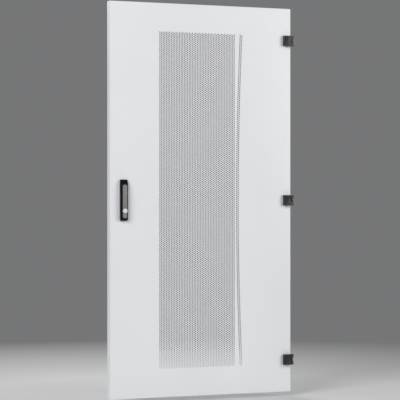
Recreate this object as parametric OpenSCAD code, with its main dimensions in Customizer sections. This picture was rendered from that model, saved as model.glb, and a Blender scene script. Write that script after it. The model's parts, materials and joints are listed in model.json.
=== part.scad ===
// Perforated door for a server rack, hung on three face hinges, with a swing handle
// that drives two lock rods and a latch cam.
// Millimetres. +Z is up, the door's front faces -Y and its hinges are on the +X side.
// The origin is the centre of the middle hinge's two mounting holes, on the bracket's
// back face, where the rack's frame begins.

/* [Door leaf] */
// Width of the leaf
door_w = 786; // [700:1:900]
// Height of the leaf
door_h = 1564; // [1500:1:1900]
// Depth of the leaf over its folded edges
door_d = 34; // [32:0.5:45]
// Thickness of the sheet
sheet_t = 1.5; // [1:0.1:2]
// Width of the lip folded in behind the leaf
lip_w = 20; // [16:0.5:26]
// Outer radius of the bends
bend_r = 2.5; // [2.1:0.1:3.5]
// Gap between the closed leaf and the rack's frame
frame_gap = 6; // [5:0.5:10]

/* [Perforation] */
// Width of the punched field
field_w = 334.4; // [200:0.1:345]
// Height of the punched field
field_h = 1343; // [1000:1:1343]
// Distance from the leaf's free edge to the punched field
field_inset = 204.6; // [200:0.1:207]
// Spacing of neighbouring punched holes
punch_pitch = 8.1; // [8:0.1:12]
// Diameter of a punched hole
punch_d = 6.07; // [3:0.01:7]
// One modelled hole of the field stands for this many punched ones each way
field_step = 3; // [3:1:6]
// One modelled hole of the curved strip stands for this many punched ones
strip_step = 2; // [2:1:3]
// Gap between the field and the strip at mid-height
strip_gap = 2; // [1.5:0.1:6]
// How far the strip bows towards the hinges at its ends
strip_bow = 16.3; // [0.5:0.1:18]

/* [Stiffeners] */
// Width of a stiffener's raised crown
crown_w = 25; // [15:0.5:30]
// Width of each welded flange
flange_w = 12; // [8:0.5:14]
// Height of a stiffener over the sheet
stiffener_h = 24; // [12:0.5:28]
// Distance from the free edge to the lock-side stiffener's centre
lock_side_inset = 175; // [165:0.5:178]
// Distance from the hinge edge to the hinge-side stiffener's centre
hinge_side_inset = 185; // [160:0.5:187]
// Distance from the top or bottom edge to a cross stiffener's centre
cross_inset = 80; // [60:0.5:84]
// Spacing of the fixing holes along the upright stiffeners
rail_pitch = 50; // [25:5:100]
// Diameter of the fixing holes along the upright stiffeners
rail_hole_d = 6; // [4:0.1:10]

/* [Hinges] */
// Distance of the outer hinges above and below mid-height
hinge_z = 650; // [400:1:700]
// Height of a hinge block
block_h = 42; // [38:0.5:60]
// Width of a hinge block on the door's face
block_w = 35; // [32:0.5:50]
// Height of the raised rims at a block's top and bottom
rim_h = 8.5; // [4:0.1:11]
// Depth of the panel between the rims
rim_step = 1.2; // [0.4:0.1:2.5]
// Radius of a block's front corner
block_corner_r = 5; // [1:0.1:7]
// Radius of the ears round the hinge pin
ear_r = 8; // [7.5:0.1:10]
// Distance of the hinge pin past the door's edge
pin_side = 1; // [0:0.1:2]
// Diameter of the hinge pin
pin_d = 6; // [4:0.1:7]
// Outer radius of the bracket's knuckle
knuckle_r = 5.5; // [5:0.1:6]
// Height of the bracket's knuckle
knuckle_h = 18.4; // [12:0.1:22]
// Thickness of the bracket's steel
strap_t = 3; // [2:0.1:3.2]
// Width of the bracket's foot behind the leaf
foot_w = 28; // [24:0.5:40]
// Height of the bracket's foot
foot_h = 42; // [38:0.5:60]
// Distance from the leaf's hinge edge to the mounting holes
mount_inset = 14; // [11:0.5:16]
// Spacing of the two mounting holes
mount_pitch = 26; // [18:0.5:30]
// Diameter of the mounting holes
mount_d = 6.5; // [4:0.1:8]
// Distance of the hinge screws from the leaf's edge
hinge_screw_inset = 22; // [18:0.5:26]
// Spacing of the two screws in a hinge block
hinge_screw_pitch = 26; // [16:0.5:28]

/* [Handle] */
// Distance from the free edge to the handle's centre line
handle_inset = 55; // [50:0.5:60]
// Height of the handle's centre over the door's mid-height
handle_z = 0; // [-200:1:200]
// Width of the handle's base
base_w = 30; // [29:0.5:40]
// Height of the handle's base
base_h = 162; // [158:1:200]
// Depth of the handle's base over the sheet
base_d = 15; // [13.5:0.1:18]
// Radius of the base's long front edges
base_edge_r = 3; // [1:0.1:4]
// Thickness of the seal under the base
seal_t = 0.8; // [0.5:0.1:1.5]
// Depth of the shallow dish in the base
dish_t = 0.9; // [0.4:0.1:1.5]
// Width of the rim left beside the dish
dish_rim = 1.8; // [1.2:0.1:3]
// Height of the spindle over the handle's centre
spindle_up = 53; // [50:0.5:56]
// Radius of the well round the spindle
well_r = 11.5; // [11:0.1:12]
// Depth of the well below the rim
well_t = 8; // [7:0.1:9]
// Width of the lever
lever_w = 16; // [14:0.1:17]
// Thickness of the lever
lever_t = 5.7; // [5.5:0.1:8]
// Length of the lever below the spindle
lever_len = 124; // [110:1:126]
// Clearance between the lever and the base
lever_gap = 0.3; // [0.2:0.05:0.6]
// Distance of the lock below the handle's centre
lock_down = 42; // [20:0.5:50]
// Diameter of the lock's front collar
collar_d = 18.4; // [16:0.1:20]
// Diameter of the lock's plug
plug_d = 10; // [8:0.1:11]
// Diameter of the lever's cross pin
cross_pin_d = 2.5; // [2:0.1:3]

/* [Lock mechanism] */
// Module of the pinion and the racks
gear_module = 1.5; // [1.2:0.05:1.6]
// Number of teeth on the pinion, an odd number
gear_teeth = 15; // [15:2:17]
// Width of a lock rod
rod_w = 12; // [8:0.5:14]
// Thickness of a lock rod
rod_t = 3; // [2:0.1:3.5]
// Distance from the leaf's top or bottom edge to the tip of a thrown rod
rod_inset = 30; // [24:0.5:60]
// Depth of the lock case in front of the gears
case_t = 11.2; // [9:0.1:12]
// Half the height of the lock case
case_half_h = 36; // [34:0.5:44]
// Wall of the lock case
case_wall = 2.5; // [1.5:0.1:3]
// Distance of the case screws above and below the spindle
case_screw_off = 21; // [20:0.1:22]
// Reach of the latch cam from the spindle
cam_reach = 44; // [30:0.5:46]
// Thickness of the latch cam
cam_t = 3; // [2:0.1:4]
// Height of the upper rod's outer and inner guides over the door's mid-height
upper_guide_z = [690, 380];
// Height of the lower rod's outer and inner guides over the door's mid-height
lower_guide_z = [-690, -330];

/* [Small parts] */
// Height of the rubber buffers behind the leaf
buffer_h = 5.5; // [3:0.1:6]
// Diameter of the rubber buffers
buffer_d = 12; // [8:0.1:15]
// Length of the earth stud
earth_len = 20; // [16:0.5:25]
// Diameter of the earth stud
earth_d = 8; // [6:0.1:8]
// Distance of the earth stud from the hinge edge and from the bottom edge
earth_inset = [70, 90];

/* [Hidden] */
$fn = 48;
eps = 0.01;
slip = 0.3; // clearance between parts that only pass each other
run = 0.05; // radial clearance of a running fit
snug = 0.02; // radial clearance of a fixed pin
past = 1; // how far a cutting tool runs past the face it cuts

edge_x = mount_inset;
face_y = -(door_d + frame_gap);
free_u = -door_w;
half_h = door_h / 2;

field_pitch = punch_pitch * field_step;
field_hole_d = punch_d * field_step;
column_pitch = field_pitch * sin(60);
columns = floor((field_w - field_hole_d) / column_pitch) + 1;
rows = floor((field_h - field_hole_d - field_pitch / 2) / field_pitch) + 1;
field_mid_u = free_u + field_inset + field_w / 2;
strip_pitch = punch_pitch * strip_step;
strip_hole_d = punch_d * strip_step;
strip_rows = floor((field_h - strip_hole_d) / strip_pitch) + 1;
strip_half = field_h / 2;
strip_r = (pow(strip_half, 2) + pow(strip_bow, 2)) / (2 * strip_bow);
strip_u = free_u + field_inset + field_w + strip_gap + strip_hole_d / 2;

hat_w = crown_w + 2 * flange_w;
lock_side_u = free_u + lock_side_inset;
hinge_side_u = -hinge_side_inset;
cross_len = hinge_side_u - lock_side_u - hat_w - 2 * slip;

pin_out = ear_r;
block_d = pin_out + ear_r;
window_r = knuckle_r + 1.2;
ear_gap = knuckle_h + 2 * slip;
screw_d = 5;
screw_head_d = 9.2;
screw_head_t = 3;
hinge_screw_len = 11;
hinge_spots = [hinge_z, 0, -hinge_z];

handle_u = free_u + handle_inset;
spindle_z = handle_z + spindle_up;
base_end_top = [36, 7.5];
base_end_bottom = [18, 7];
rim_v = -base_d;
dish_v = rim_v + dish_t;
well_v = rim_v + well_t;
lever_back_v = rim_v - lever_gap;
lever_front_v = lever_back_v - lever_t;
head_back_v = lever_back_v + 2;
head_skin = 1.2;
cross_pin_v = lever_front_v + head_skin + 0.3 + cross_pin_d / 2 + 1.5;
tongue_r = cross_pin_d / 2 + 1.5;
tongue_w = 6;
hub_flange_d = 20;
hub_flange_t = 2.5;
shaft_d = 12;
square_w = 7.9;
collar_t = 1.6;
barrel_d = plug_d + 4;
boss_d = shaft_d + 7;
base_screw_down = 70;
long_screw_d = 4;
long_head_d = 7.2;
long_head_t = 2.6;

pitch_r = gear_module * gear_teeth / 2;
gear_backlash = 0.08;
rack_head = 0.8 * gear_module;
rack_foot = 1.25 * gear_module;
rack_pitch = PI * gear_module;
rack_foot_w = rack_pitch / 4 - gear_backlash + rack_foot * tan(20); // half a tooth at its root
rack_head_w = rack_pitch / 4 - gear_backlash - rack_head * tan(20); // half a tooth at its head
rod_near = pitch_r + rack_foot;
rod_far = rod_near + rod_w;
rod_travel = pitch_r * PI / 2;
case_v = sheet_t + case_t;
gear_t = rod_t + 1;
gear_v = case_v + 0.4;
rod_v = gear_v + (gear_t - rod_t) / 2;
chamber_v = gear_v + gear_t + 0.4;
cover_v = chamber_v + 4.5;
cam_v = cover_v + slip;
shaft_end_v = cam_v + cam_t - 0.1;
case_half_w = rod_far + slip + case_wall;
cam_r = 9;
cam_washer_d = 13;
cam_washer_t = 1;
rod_tip_z = half_h - rod_inset;
rod_point = 14;
guide_h = 14;
guide_side = 3;
guide_foot_t = 2.5;

// Moves a shape from the leaf's own frame, with its origin on the hinge edge of the
// front face at mid-height, into the mounting frame
module placed() translate([edge_x, face_y, 0]) children();

// Moves a shape to one hinge
module at_hinge(i) translate([0, 0, hinge_spots[i]]) children();

// Moves a shape to the handle's spindle
module at_spindle() translate([handle_u, 0, spindle_z]) children();

// A flat shape drawn as seen from the front, solid from depth v0 to depth v1
module slab(v0, v1) translate([0, v1, 0]) rotate([90, 0, 0]) linear_extrude(v1 - v0) children();

// A flat shape drawn as seen from above, solid from height z0 to height z1
module tier(z0, z1) translate([0, 0, z0]) linear_extrude(z1 - z0) children();

// A flat shape drawn in depth and height, solid from u0 to u1 across the door
module across(u0, u1) translate([u0, 0, 0]) rotate([90, 0, 90]) linear_extrude(u1 - u0) children();

// A rectangle with round corners and one corner at the origin
module rounded_rect(size, r) {
  translate([r, 0]) square([size.x - 2 * r, size.y]);
  translate([0, r]) square([size.x, size.y - 2 * r]);
  for (x = [r, size.x - r], y = [r, size.y - r]) translate([x, y]) circle(r);
}

// A round bar from depth v0 to depth v1
module rod_y(d, v0, v1) slab(v0, v1) circle(d / 2);

// ---- Door leaf ----

// A box with bent edges, with its front right edge at the origin and centred in height
module bent_box(w, d, h, r) {
  intersection() {
    tier(-h / 2, h / 2) translate([-w, 0]) rounded_rect([w, d], r);
    across(-w, 0) translate([0, -h / 2]) rounded_rect([d, h], r);
  }
}

// The staggered holes of the main field
module field_holes() {
  for (c = [0 : columns - 1], r = [0 : rows - 1])
    translate([
      field_mid_u + (c - (columns - 1) / 2) * column_pitch,
      (r - (rows - 1) / 2 + (c % 2 == 0 ? 0.25 : -0.25)) * field_pitch
    ]) circle(field_hole_d / 2);
}

// The curved strip of holes beside the field
module strip_holes() {
  for (r = [0 : strip_rows - 1]) {
    z = (r - (strip_rows - 1) / 2) * strip_pitch;
    translate([strip_u + strip_r - sqrt(pow(strip_r, 2) - pow(z, 2)), z]) circle(strip_hole_d / 2);
  }
}

// The sheet's holes for the handle, the case screws and the hinge screws
module fixing_holes() {
  translate([handle_u, spindle_z]) {
    circle(boss_d / 2 + slip);
    for (s = [-1, 1]) translate([0, s * case_screw_off]) circle(long_screw_d / 2 + slip);
  }
  translate([handle_u, handle_z - base_screw_down]) circle(screw_d / 2 + slip);
  for (z = hinge_spots, s = [-0.5, 0.5])
    translate([-hinge_screw_inset, z + s * hinge_screw_pitch]) circle(screw_d / 2 + slip);
}

// Where the four buffers stand on the lips
module at_buffers() {
  for (u = [-lip_w / 2, free_u + lip_w / 2], z = [-1, 1])
    translate([u, 0, z * (half_h - lip_w / 2)]) children();
}

module door_panel() placed() color([0.89, 0.9, 0.9]) {
  difference() {
    bent_box(door_w, door_d, door_h, bend_r);
    translate([-sheet_t, sheet_t, 0])
      bent_box(door_w - 2 * sheet_t, door_d - 2 * sheet_t, door_h - 2 * sheet_t, bend_r - sheet_t);
    translate([free_u + lip_w, door_d - sheet_t - past, lip_w - half_h])
      cube([door_w - 2 * lip_w, sheet_t + 2 * past, door_h - 2 * lip_w]);
    slab(-past, sheet_t + past) {
      field_holes();
      strip_holes();
      fixing_holes();
    }
    at_buffers() rod_y(buffer_d / 2, door_d - sheet_t - past, door_d + past);
  }
}

// ---- Stiffeners ----

// The hat section, drawn with its flanges on the line y = 0 and centred on x = 0
module hat_section() {
  for (s = [-1, 1]) {
    translate([s * (crown_w + flange_w - sheet_t) / 2 - (flange_w + sheet_t) / 2, 0])
      square([flange_w + sheet_t, sheet_t]);
    translate([s * (crown_w - sheet_t) / 2 - sheet_t / 2, 0]) square([sheet_t, stiffener_h]);
  }
  translate([-crown_w / 2, stiffener_h - sheet_t]) square([crown_w, sheet_t]);
}

// An upright stiffener with its row of fixing holes
module upright(u) {
  len = door_h - 2 * (sheet_t + 3);
  count = floor((len - 60) / rail_pitch);
  difference() {
    translate([u, sheet_t, 0]) tier(-len / 2, len / 2) hat_section();
    for (i = [0 : count])
      translate([u, 0, (i - count / 2) * rail_pitch])
        rod_y(rail_hole_d, sheet_t + stiffener_h - sheet_t - past, sheet_t + stiffener_h + past);
  }
}

// A cross stiffener at height z
module cross(z) {
  translate([(hinge_side_u + lock_side_u) / 2 - cross_len / 2, sheet_t, z])
    rotate([90, 0, 90]) linear_extrude(cross_len) rotate(-90) mirror([1, 0]) hat_section();
}

module lock_side_stiffener() placed() color([0.85, 0.86, 0.86]) upright(lock_side_u);
module hinge_side_stiffener() placed() color([0.85, 0.86, 0.86]) upright(hinge_side_u);
module top_stiffener() placed() color([0.85, 0.86, 0.86]) cross(half_h - cross_inset);
module bottom_stiffener() placed() color([0.85, 0.86, 0.86]) cross(cross_inset - half_h);

// ---- Small parts on the leaf's back ----

// A buffer: a cushion on the lip, a stem through it and a bead inside
module rubber_buffers() placed() color([0.1, 0.1, 0.1]) {
  at_buffers() translate([0, door_d, 0]) rotate([-90, 0, 0]) rotate_extrude() polygon([
    [0, -sheet_t - 3], [buffer_d / 4 - 1, -sheet_t - 3], [buffer_d / 4 + 1, -sheet_t - slip],
    [buffer_d / 4 - slip, -sheet_t - slip], [buffer_d / 4 - slip, 0], [buffer_d / 2, 0],
    [buffer_d / 2, buffer_h - 1.5], [buffer_d / 2 - 1.5, buffer_h], [0, buffer_h]
  ]);
}

module at_earth() translate([-earth_inset.x, sheet_t, earth_inset.y - half_h]) children();

module earth_stud() placed() color([0.8, 0.62, 0.32]) {
  at_earth() {
    rod_y(earth_d + 2, 0, 0.8);
    rod_y(earth_d, 0, earth_len - 1);
    rod_y(earth_d - 2, earth_len - 1 - eps, earth_len);
  }
}

module earth_washer() placed() color([0.75, 0.76, 0.78]) {
  at_earth() difference() {
    rod_y(2 * earth_d, 0.8, 2.2);
    rod_y(earth_d + 0.6, 0, 3);
  }
}

module earth_nut() placed() color([0.75, 0.76, 0.78]) {
  at_earth() difference() {
    slab(2.2, 2.2 + 0.8 * earth_d) circle(d = 1.876 * earth_d, $fn = 6);
    rod_y(earth_d + 0.2, 0, earth_len);
  }
}

// ---- Hinges ----

// A hinge block seen from above: a body on the face and a round end about the pin
module block_outline() {
  difference() {
    translate([-block_w, -block_d]) square([block_w + pin_side, block_d]);
    translate([-block_w, -block_d]) square(block_corner_r);
  }
  translate([block_corner_r - block_w, block_corner_r - block_d]) circle(block_corner_r);
  translate([pin_side, -pin_out]) circle(ear_r);
}

module hinge_block(i) placed() color([0.13, 0.13, 0.14]) {
  at_hinge(i) difference() {
    tier(-block_h / 2, block_h / 2) block_outline();
    tier(rim_h - block_h / 2, block_h / 2 - rim_h)
      translate([-block_w - past, -block_d - past])
        square([block_w + pin_side + ear_r + 2 * past, past + rim_step]);
    tier(-ear_gap / 2, ear_gap / 2)
      translate([pin_side - window_r, -block_d - past])
        square([window_r + ear_r + past, block_d + 2 * past]);
    translate([pin_side, -pin_out, 0])
      cylinder(h = block_h + 2 * past, r = pin_d / 2 + snug, center = true);
    for (s = [-0.5, 0.5])
      translate([-hinge_screw_inset, 0, s * hinge_screw_pitch])
        rod_y(screw_d + 2 * run, -hinge_screw_len - 1, past);
  }
}

// The bracket seen from above: a knuckle, a strap past the leaf's edge and its turned foot
module bracket_outline() {
  translate([pin_side, -pin_out]) circle(knuckle_r);
  translate([pin_side + knuckle_r - strap_t, -pin_out])
    square([strap_t, pin_out + door_d + frame_gap - strap_t]);
  translate([pin_side + knuckle_r - 2 * strap_t, door_d + frame_gap - 2 * strap_t]) difference() {
    square(strap_t + eps);
    circle(strap_t);
  }
  translate([pin_side + knuckle_r - strap_t, door_d + frame_gap - strap_t]) {
    intersection() {
      circle(strap_t);
      square(strap_t);
    }
  }
}

module hinge_bracket(i) placed() color([0.1, 0.1, 0.11]) {
  foot_u0 = -foot_w;
  foot_v1 = door_d + frame_gap;
  at_hinge(i) difference() {
    union() {
      tier(-knuckle_h / 2, knuckle_h / 2) bracket_outline();
      slab(foot_v1 - strap_t, foot_v1)
        translate([foot_u0, -foot_h / 2])
          rounded_rect([foot_w + pin_side + knuckle_r - 2 * strap_t, foot_h], 4);
      slab(foot_v1 - strap_t, foot_v1)
        translate([-strap_t, -knuckle_h / 2])
          square([pin_side + knuckle_r, knuckle_h]);
    }
    translate([pin_side, -pin_out, 0])
      cylinder(h = knuckle_h + 2 * past, r = pin_d / 2 + run, center = true);
    for (s = [-0.5, 0.5])
      translate([-mount_inset, 0, s * mount_pitch])
        rod_y(mount_d, foot_v1 - strap_t - past, foot_v1 + past);
  }
}

module hinge_pin(i) placed() color([0.72, 0.73, 0.75]) {
  at_hinge(i) translate([pin_side, -pin_out, 0]) {
    cylinder(h = block_h - 3, r = pin_d / 2, center = true);
    for (s = [0, 1]) mirror([0, 0, s]) translate([0, 0, (block_h - 3) / 2 - eps])
      cylinder(h = 1, r1 = pin_d / 2, r2 = pin_d / 2 - 0.8);
  }
}

module hinge_screws(i) placed() color([0.75, 0.76, 0.78]) {
  at_hinge(i) for (s = [-0.5, 0.5])
    translate([-hinge_screw_inset, 0, s * hinge_screw_pitch])
      pan_screw(screw_d, hinge_screw_len, screw_head_d, screw_head_t);
}

// A pan-head screw driven from behind the sheet, with its head on the sheet's back
module pan_screw(d, len, head_d, head_t) {
  difference() {
    union() {
      rod_y(d, -len, sheet_t + eps);
      rod_y(head_d, sheet_t, sheet_t + head_t);
    }
    slab(sheet_t + head_t - 1.6, sheet_t + head_t + past) circle(d = 0.55 * head_d, $fn = 6);
  }
}

// ---- Handle ----

// The base seen from the side, in depth and height: full depth in the middle, falling to its ends
module base_side() {
  z1 = base_h / 2;
  hull() {
    translate([-base_end_top.y, z1 - base_end_top.y / 2]) square([base_end_top.y, base_end_top.y / 2]);
    translate([-base_d, 0]) square([base_d, z1 - base_end_top.x]);
    translate([4 - base_d, z1 - base_end_top.x * 0.55]) circle(3.1, $fn = 32);
  }
  hull() {
    translate([-base_end_bottom.y, -z1]) square([base_end_bottom.y, 1]);
    translate([-base_d, base_end_bottom.x - z1]) square([base_d, z1 - base_end_bottom.x]);
    translate([6 - base_d, base_end_bottom.x * 0.55 - z1]) circle(5.4, $fn = 32);
  }
}

// The base seen from above, with its long front edges rounded
module base_section() {
  translate([-base_w / 2, -base_d]) difference() {
    rounded_rect([base_w, base_d + base_edge_r], base_edge_r);
    translate([-past, base_d - seal_t]) square([base_w + 2 * past, 2 * base_edge_r]);
  }
}

// The dish round the lever, seen from the front with the spindle at the origin
module dish_outline() {
  r = base_w / 2 - dish_rim;
  foot = spindle_up + base_h / 2 - base_end_bottom.x / 2;
  circle(r);
  translate([-r, r - foot]) square([2 * r, foot - r]);
  translate([-r, -foot]) rounded_rect([2 * r, 2 * r], 5);
}

module handle_base() placed() color([0.1, 0.1, 0.11]) {
  difference() {
    union() {
      translate([handle_u, 0, handle_z]) intersection() {
        tier(-base_h / 2, base_h / 2) base_section();
        across(-base_w / 2, base_w / 2) base_side();
        slab(-base_d - past, 0) translate([-base_w / 2, -base_h / 2]) rounded_rect([base_w, base_h], 3);
      }
      at_spindle() rod_y(boss_d, -2 * seal_t, sheet_t - 0.2);
    }
    at_spindle() {
      slab(rim_v - past, dish_v) dish_outline();
      rod_y(2 * well_r, rim_v - past, well_v);
      rod_y(shaft_d + 2 * run, rim_v, sheet_t + past);
      translate([0, 0, case_screw_off]) rod_y(long_screw_d + 2 * run, -6, past);
      translate([0, 0, -case_screw_off]) rod_y(long_screw_d + 2 * run, -10, past);
    }
    translate([handle_u, 0, handle_z - base_screw_down])
      rod_y(screw_d + 2 * run, -9, past);
  }
}

module handle_seal() placed() color([0.06, 0.06, 0.06]) {
  difference() {
    slab(-seal_t, 0)
      translate([handle_u - base_w / 2 + 0.5, handle_z - base_h / 2 + 0.5])
        rounded_rect([base_w - 1, base_h - 1], 3);
    at_spindle() {
      rod_y(boss_d + 0.4, -past - seal_t, past);
      for (s = [-1, 1]) translate([0, 0, s * case_screw_off])
        rod_y(long_screw_d + 0.4, -past - seal_t, past);
    }
    translate([handle_u, 0, handle_z - base_screw_down]) rod_y(screw_d + 0.4, -past - seal_t, past);
  }
}

module base_screw() placed() color([0.75, 0.76, 0.78]) {
  translate([handle_u, 0, handle_z - base_screw_down])
    pan_screw(screw_d, 8, screw_head_d, screw_head_t);
}

// The hub: a flange in the well, a tongue for the cross pin, a round shaft and a square end
module handle_hub() placed() color([0.12, 0.12, 0.13]) {
  at_spindle() difference() {
    union() {
      rod_y(hub_flange_d, well_v - hub_flange_t - slip, well_v - slip);
      slab(cross_pin_v, well_v - hub_flange_t) square([tongue_w, 2 * tongue_r], center = true);
      translate([0, cross_pin_v, 0]) rotate([0, 90, 0])
        cylinder(h = tongue_w, r = tongue_r, center = true);
      rod_y(shaft_d, well_v - slip - eps, case_v + 0.2);
      slab(case_v, shaft_end_v) square(square_w, center = true);
    }
    translate([0, cross_pin_v, 0]) rotate([0, 90, 0])
      cylinder(h = tongue_w + 2 * past, r = cross_pin_d / 2 + snug, center = true);
    rod_y(screw_d + 2 * run, case_v + 1, shaft_end_v + past);
  }
}

module cross_pin() placed() color([0.72, 0.73, 0.75]) {
  at_spindle() translate([0, cross_pin_v, 0]) rotate([0, 90, 0])
    cylinder(h = lever_w - 0.4, r = cross_pin_d / 2, center = true);
}

// The lever seen from the front, with the spindle at the origin
module lever_outline() {
  r = lever_w / 2;
  circle(r);
  translate([-r, r - lever_len]) square([lever_w, lever_len - r]);
  translate([0, r - lever_len]) circle(r);
  translate([0, -spindle_up - lock_down]) circle(collar_d / 2 + 0.6);
}

module lever() placed() color([0.5, 0.5, 0.51]) {
  lock_z = -spindle_up - lock_down;
  well_end = -tongue_r - 0.4;
  at_spindle() difference() {
    union() {
      slab(lever_front_v, lever_back_v) lever_outline();
      rod_y(lever_w, lever_front_v, head_back_v);
    }
    slab(lever_front_v + head_skin, head_back_v + past)
      translate([-tongue_w / 2 - 0.2, well_end]) square([tongue_w + 0.4, lever_w]);
    translate([0, cross_pin_v, 0]) rotate([0, 90, 0])
      cylinder(h = lever_w + 2 * past, r = cross_pin_d / 2 + run, center = true);
    slab(lever_back_v - lever_t / 2, lever_back_v + past)
      translate([-lever_w / 2 + 2.5, lock_z + barrel_d / 2 + 4])
        rounded_rect([lever_w - 5, -lock_z - barrel_d / 2 - 4 - lever_w / 2 - 2], 2);
    translate([0, 0, lock_z]) rod_y(barrel_d + 2 * run, lever_front_v - past, lever_back_v + past);
    rod_y(3.2, lever_front_v - past, lever_front_v + 0.8);
  }
}

module lock_collar() placed() color([0.86, 0.86, 0.86]) {
  translate([handle_u, 0, handle_z - lock_down]) difference() {
    union() {
      rod_y(collar_d, lever_front_v - collar_t, lever_front_v);
      rod_y(barrel_d, lever_front_v - eps, lever_back_v);
    }
    rod_y(plug_d + 2 * run, lever_front_v - collar_t - past, lever_back_v + past);
  }
}

module lock_plug() placed() color([0.8, 0.8, 0.8]) {
  front_v = lever_front_v - collar_t - 0.2;
  translate([handle_u, 0, handle_z - lock_down]) difference() {
    rod_y(plug_d, front_v, lever_back_v);
    slab(front_v - past, front_v + 4) square([1.2, 0.6 * plug_d], center = true);
    rod_y(2.6, front_v - past, front_v + 1);
  }
}

// ---- Rod drive ----

// A point of the involute of a circle of radius rb, unrolled through t degrees
function involute(rb, t) = rb * [cos(t) + t * PI / 180 * sin(t), sin(t) - t * PI / 180 * cos(t)];

// A point turned through an angle about the origin
function turned(p, a) = [p.x * cos(a) - p.y * sin(a), p.x * sin(a) + p.y * cos(a)];

// The pinion's teeth as one outline, with a tooth centred on the +x side
module pinion_outline() {
  rb = pitch_r * cos(20);
  ro = pitch_r + gear_module;
  rr = pitch_r - rack_foot;
  t_end = sqrt(pow(ro / rb, 2) - 1) * 180 / PI;
  roll = (tan(20) - 20 * PI / 180) * 180 / PI;
  half = 90 / gear_teeth + roll - gear_backlash / pitch_r * 180 / PI;
  flank = [for (k = [0 : 4]) turned(involute(rb, t_end * k / 4), -half)];
  polygon([
    for (i = [0 : gear_teeth - 1]) let (a = i * 360 / gear_teeth) each concat(
      [turned([rr, 0], a - half)],
      [for (p = flank) turned(p, a)],
      [for (k = [4 : -1 : 0]) turned([flank[k].x, -flank[k].y], a)],
      [turned([rr, 0], a + half)]
    )
  ]);
}

// The outline of one rack tooth about height z, pointing to -x
function rack_tooth(z) = [
  [rod_near, z - rack_foot_w], [pitch_r - rack_head, z - rack_head_w],
  [pitch_r - rack_head, z + rack_head_w], [rod_near, z + rack_foot_w]
];

// A rod seen from the front, right of the spindle, with its pointed end a distance tip below it
module rod_outline(tip, phase) {
  end = (1 + phase) * rack_pitch + rack_foot_w + 1;
  polygon(concat(
    [[rod_near, rod_point - tip]],
    [for (k = [-5 : 1]) each rack_tooth((k + phase) * rack_pitch)],
    [
      [rod_near, end], [rod_far, end], [rod_far, rod_point - tip],
      [rod_far - rod_w / 4, -tip], [rod_near + rod_w / 4, -tip]
    ]
  ));
}

module pinion() placed() color([0.6, 0.6, 0.62]) {
  at_spindle() slab(gear_v, gear_v + gear_t) difference() {
    pinion_outline();
    square(square_w + 0.1, center = true);
  }
}

module upper_rod() placed() color([0.78, 0.79, 0.8]) {
  at_spindle() slab(rod_v, rod_v + rod_t)
    rotate(180) rod_outline(rod_tip_z - spindle_z, 0);
}

module lower_rod() placed() color([0.78, 0.79, 0.8]) {
  at_spindle() slab(rod_v, rod_v + rod_t) rod_outline(rod_tip_z + spindle_z, 0.5);
}

module case_outline() {
  translate([-case_half_w, -case_half_h]) rounded_rect([2 * case_half_w, 2 * case_half_h], 4);
}

module lock_case() placed() color([0.14, 0.14, 0.15]) {
  inner = case_half_w - case_wall;
  at_spindle() difference() {
    slab(sheet_t, case_v) case_outline();
    slab(sheet_t - past, case_v - case_wall) difference() {
      translate([-inner, case_wall - case_half_h])
        rounded_rect([2 * inner, 2 * (case_half_h - case_wall)], 2);
      circle(boss_d / 2);
      for (s = [-1, 1]) translate([0, s * case_screw_off]) circle(long_screw_d + 0.5);
    }
    rod_y(boss_d + 2 * slip, sheet_t - past, sheet_t);
    rod_y(shaft_d + 2 * run, sheet_t - past, case_v + past);
    for (s = [-1, 1]) translate([0, 0, s * case_screw_off])
      rod_y(long_screw_d + 2 * slip, sheet_t - past, case_v + past);
  }
}

// The space for the pinion and the two rods, seen from the front
module gear_space() {
  near = rod_near - rack_foot - rack_head - slip;
  wide = rod_far + slip - near;
  stop = 1.5 * rack_pitch + rack_foot_w + 1 + rod_travel + 2;
  circle(pitch_r + gear_module + slip + 0.4);
  translate([near, -case_half_h - past]) square([wide, case_half_h + past + stop]);
  rotate(180) translate([near, -case_half_h - past]) square([wide, case_half_h + past + stop]);
}

module lock_case_cover() placed() color([0.14, 0.14, 0.15]) {
  at_spindle() difference() {
    slab(case_v, cover_v) case_outline();
    slab(case_v - past, chamber_v) gear_space();
    rod_y(square_w * sqrt(2) + 0.6, case_v, cover_v + past);
    for (s = [-1, 1]) translate([0, 0, s * case_screw_off]) {
      rod_y(long_screw_d + 2 * slip, case_v - past, cover_v + past);
      rod_y(long_head_d + 2 * slip, cover_v - long_head_t - slip, cover_v + past);
    }
  }
}

module case_screws() placed() color([0.75, 0.76, 0.78]) {
  head_v = cover_v - long_head_t - slip;
  at_spindle() for (s = [-1, 1]) translate([0, 0, s * case_screw_off]) difference() {
    union() {
      rod_y(long_screw_d, s > 0 ? -5.5 : -9.5, head_v + eps);
      rod_y(long_head_d, head_v, head_v + long_head_t);
    }
    slab(head_v + long_head_t - 1.4, head_v + long_head_t + past) circle(d = 4, $fn = 6);
  }
}

// The latch cam, thrown towards the leaf's free edge
module latch_cam() placed() color([0.7, 0.71, 0.73]) {
  at_spindle() slab(cam_v, cam_v + cam_t) difference() {
    union() {
      circle(cam_r);
      translate([cam_r - cam_reach, -cam_r]) square([cam_reach - cam_r, 2 * cam_r]);
      translate([5 - cam_reach, -cam_r]) rounded_rect([2 * cam_r, 2 * cam_r], 5);
      translate([-cam_reach, -cam_r]) rounded_rect([2 * cam_r, 2 * cam_r], 5);
    }
    square(square_w + 0.1, center = true);
  }
}

module cam_washer() placed() color([0.75, 0.76, 0.78]) {
  at_spindle() difference() {
    rod_y(cam_washer_d, cam_v + cam_t, cam_v + cam_t + cam_washer_t);
    rod_y(screw_d + 0.4, cam_v, cam_v + cam_t + cam_washer_t + past);
  }
}

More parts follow.
